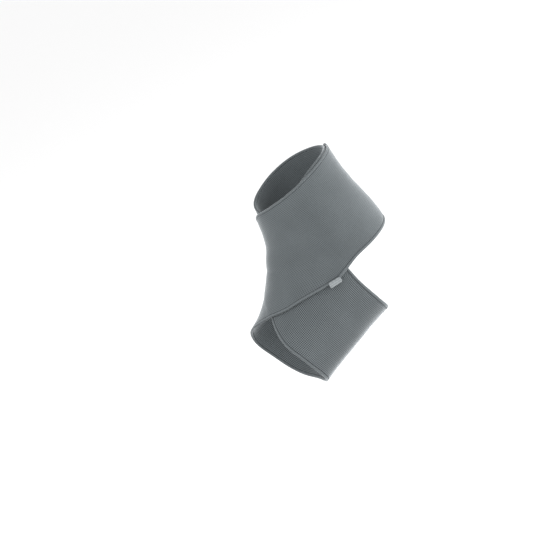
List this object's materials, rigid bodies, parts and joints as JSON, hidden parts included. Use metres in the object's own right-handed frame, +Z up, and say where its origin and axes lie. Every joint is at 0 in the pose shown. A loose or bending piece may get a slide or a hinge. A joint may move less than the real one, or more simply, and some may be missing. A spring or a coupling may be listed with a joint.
{
  "type": "figure-eight elastic ankle wrap brace",
  "caption": "Elastic knit strip wound in a figure of eight round the ankle and under the arch, open at heel and toes, with hemmed edges and a small blank tab.",
  "frame": {"origin": "middle of the wearer's ankle joint, inside the wrap, where a left foot holds it", "axes": "+Z up along the shin, -X towards the toes, +X towards the heel, -Y towards the outer side of the left foot, where the tab is"},
  "size_m": [0.1296, 0.0794, 0.155],
  "materials": {
    "knit": "grey elastic bird's-eye knit, matt with a soft sheen",
    "hem": "turned and stitched edge of the same grey knit",
    "tab": "light grey blank woven tape, slightly glossy"
  },
  "bodies": {
    "root": {"elastic_band": "knit", "upper_edge_hem": "hem", "lower_edge_hem": "hem", "outer_end_hem": "hem", "blank_tab": "tab"}
  },
  "joints": []
}
